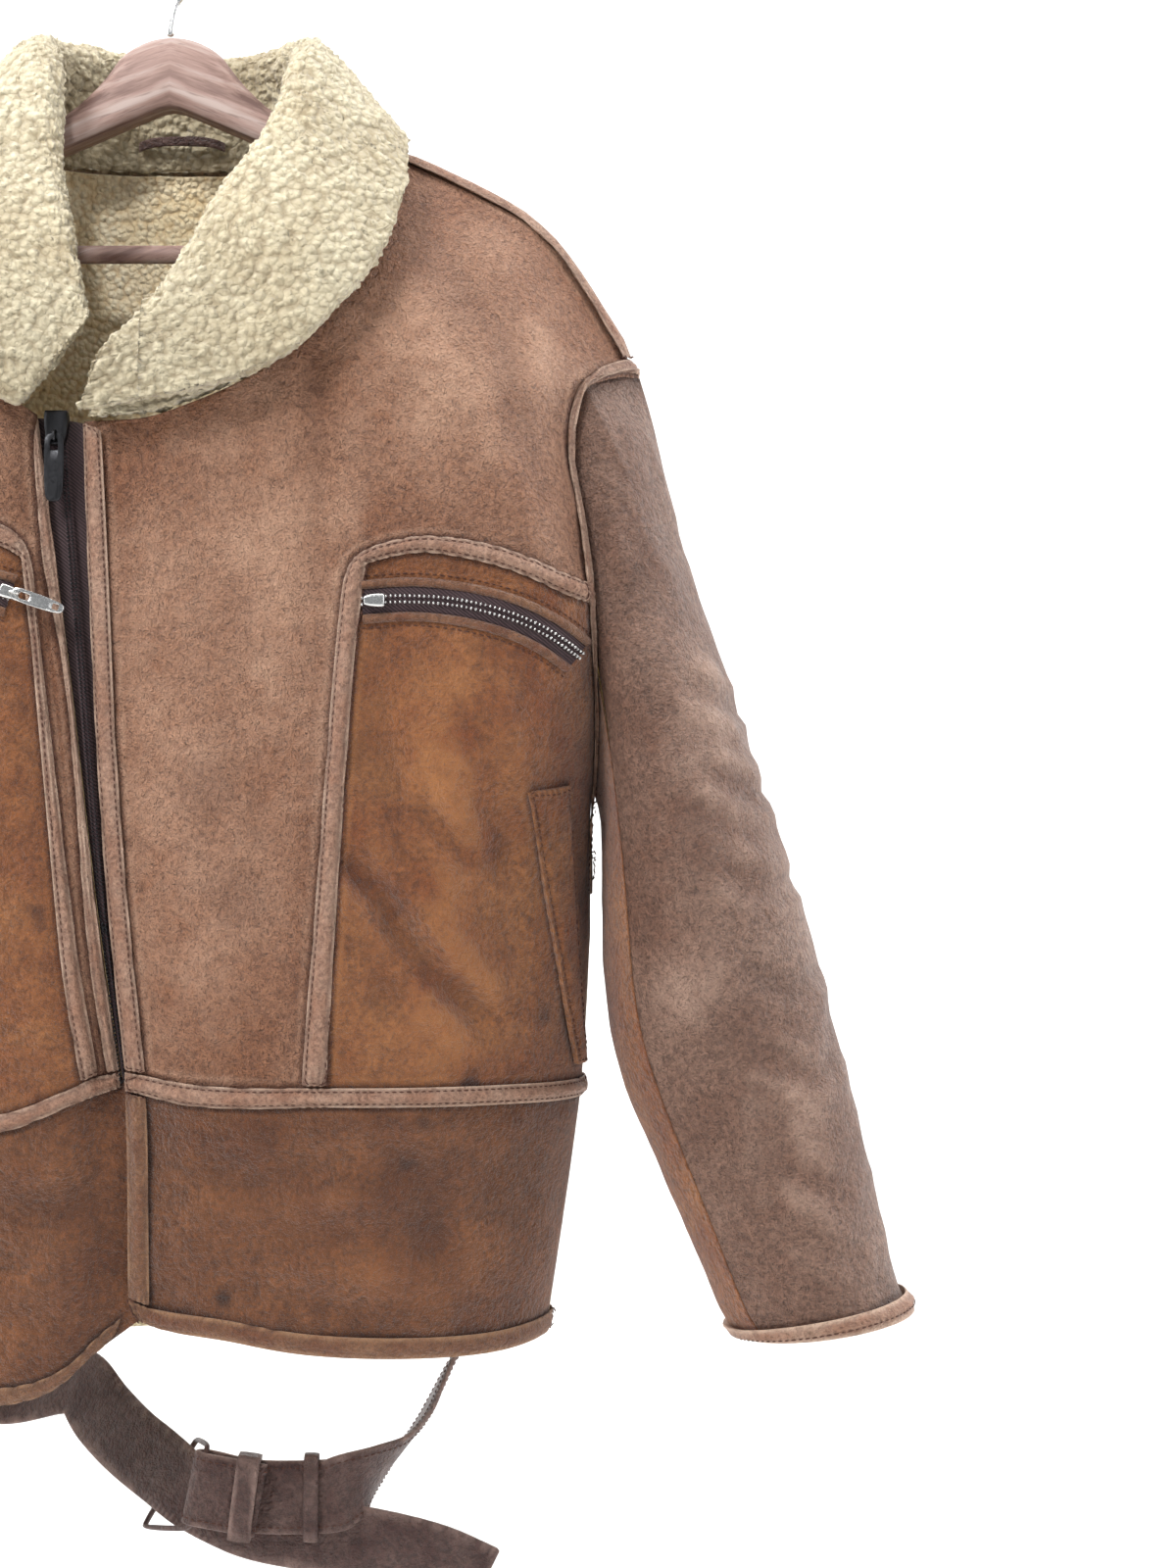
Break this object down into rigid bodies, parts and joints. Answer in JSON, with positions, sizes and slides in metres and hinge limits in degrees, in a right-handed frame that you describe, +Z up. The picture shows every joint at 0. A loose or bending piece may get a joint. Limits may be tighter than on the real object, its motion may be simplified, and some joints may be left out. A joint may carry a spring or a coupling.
{
  "type": "sheepskin flying jacket on a wooden hanger",
  "caption": "Sheepskin flying jacket with a wool collar, diagonal zip, chest pockets and a waist belt, hanging from a wooden hanger.",
  "frame": {"origin": "inside top of the hanger's hook, where it rests on a rail", "axes": "+Z up, the jacket's front faces -Y, +X to the right of someone facing the front (the wearer's left)"},
  "size_m": [0.8558, 0.2306, 0.9798],
  "materials": {
    "grain_leather": "smooth grain, satin, waxed and worn",
    "suede_leather": "rough suede, matt, mottled",
    "binding_leather": "smooth strips, satin",
    "suede_strip": "rough strips, matt",
    "shorn_wool": "curly shorn wool",
    "belt_leather": "smooth, scuffed at the edges",
    "zip_tape": "woven tape",
    "blackened_metal": "blackened, worn bright at the edges",
    "nickel": "nickel plated",
    "beech": "varnished beech",
    "hook_steel": "bright steel wire"
  },
  "bodies": {
    "jacket": {"armhole_strip_left": "binding_leather", "armhole_strip_right": "binding_leather", "back_panel": "grain_leather", "belt_buckle_end": "belt_leather", "belt_carrier_left": "suede_strip", "belt_carrier_middle": "suede_strip", "belt_carrier_right": "suede_strip", "belt_holed_end": "belt_leather", "belt_keeper_loose": "belt_leather", "belt_keeper_sewn": "belt_leather", "buckle": "blackened_metal", "chest_panel_left": "grain_leather", "chest_panel_right": "grain_leather", "collar_left": "shorn_wool", "collar_right": "shorn_wool", "cuff_strip_left": "binding_leather", "cuff_strip_right": "binding_leather", "front_edge_left": "suede_strip", "hang_loop": "binding_leather", "hanger_arms": "beech", "hanger_bar": "beech", "hanger_hook": "hook_steel", "hem_band_back": "suede_leather", "hem_band_left": "suede_leather", "hem_band_right": "suede_leather", "hem_strip_back": "suede_strip", "hem_strip_left": "suede_strip", "hem_strip_right": "suede_strip", "placket_strip_left": "binding_leather", "placket_strip_right": "binding_leather", "pocket_bail_right": "nickel", "pocket_slider_left": "blackened_metal", "pocket_slider_right": "nickel", "pocket_trim_left": "binding_leather", "pocket_trim_right": "binding_leather", "pocket_zip_left": "zip_tape", "pocket_zip_right": "zip_tape", "shoulder_strip_left": "binding_leather", "shoulder_strip_right": "binding_leather", "side_front_left": "suede_leather", "side_front_right": "suede_leather", "side_welt_left": "binding_leather", "side_welt_right": "binding_leather", "sleeve_outer_left": "grain_leather", "sleeve_outer_right": "grain_leather", "sleeve_under_left": "suede_leather", "sleeve_under_right": "suede_leather", "waist_strip_back": "binding_leather", "waist_strip_left": "binding_leather", "waist_strip_right": "binding_leather", "zip_bail": "blackened_metal", "zip_chain": "blackened_metal", "zip_slider": "blackened_metal", "zip_tape": "zip_tape"},
    "main_zip_pull": {"zip_pull": "blackened_metal"},
    "pocket_zip_pull": {"pocket_pull_right": "nickel"}
  },
  "joints": [
    {"name": "main_zip_pull_swing", "type": "hinge", "parent": "jacket", "child": "main_zip_pull", "pos_m": [-0.0506, -0.08328, -0.30581], "axis": [-1, 0, 0], "range_deg": [0, 100]},
    {"name": "pocket_zip_pull_swing", "type": "hinge", "parent": "jacket", "child": "pocket_zip_pull", "pos_m": [-0.06918, -0.09939, -0.39353], "axis": [-0.2864, -0.1619, -0.9443], "range_deg": [0, 100]}
  ]
}
